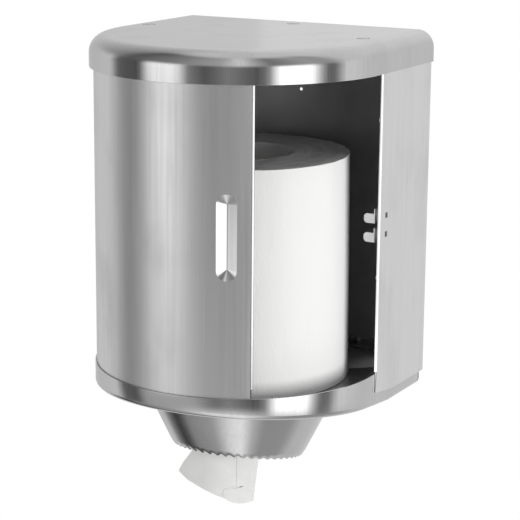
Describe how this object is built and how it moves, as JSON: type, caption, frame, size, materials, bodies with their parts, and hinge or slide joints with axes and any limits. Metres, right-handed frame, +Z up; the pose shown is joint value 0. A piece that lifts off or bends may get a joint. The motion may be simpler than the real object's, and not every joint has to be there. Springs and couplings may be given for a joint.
{
  "type": "centre-feed paper towel dispenser",
  "caption": "Wall-hung half-round steel dispenser for centre-feed paper towels, with a turning curved door, a roll shelf and a scalloped outlet cone.",
  "frame": {"origin": "on the wall face of the back plate, in the middle of the four wall holes", "axes": "+Z up, -Y out of the wall towards the user, +X to the user's right"},
  "size_m": [0.268, 0.251, 0.4379],
  "materials": {
    "polished_steel": "polished",
    "plain_steel": "satin",
    "zinc_steel": "zinc plated",
    "glide_plastic": "matte",
    "paper": "soft creped paper"
  },
  "bodies": {
    "case": {"casing": "polished_steel", "top_cap": "polished_steel", "cap_rivets": "polished_steel", "bottom_tray": "polished_steel", "outlet_cone": "polished_steel", "roll_shelf": "plain_steel", "shelf_spacers": "zinc_steel", "shelf_studs": "zinc_steel", "shelf_nuts": "zinc_steel", "lower_track": "plain_steel", "upper_track": "plain_steel", "track_rivets": "zinc_steel", "track_stops": "plain_steel", "latch_plate": "plain_steel", "latch_studs": "zinc_steel", "latch_nuts": "zinc_steel"},
    "door": {"door": "polished_steel", "lower_glides": "glide_plastic", "upper_glides": "glide_plastic", "glide_rivets": "zinc_steel"},
    "latch": {"latch_fingers": "polished_steel"},
    "roll": {"paper_roll": "paper", "paper_tail": "paper"}
  },
  "joints": [
    {"name": "door_turn", "type": "hinge", "parent": "case", "child": "door", "pos_m": [0, -0.117, 0], "axis": [0, 0, 1], "range_deg": [0, 62]},
    {"name": "latch_flex", "type": "hinge", "parent": "case", "child": "latch", "pos_m": [0.1261, -0.074, -0.0015], "axis": [0, 0, -1], "range_deg": [0, 6], "stiffness_Nm_per_rad": 0.5},
    {"name": "roll_turn", "type": "hinge", "parent": "case", "child": "roll", "pos_m": [0, -0.122, 0], "axis": [0, 0, 1], "continuous": true}
  ]
}
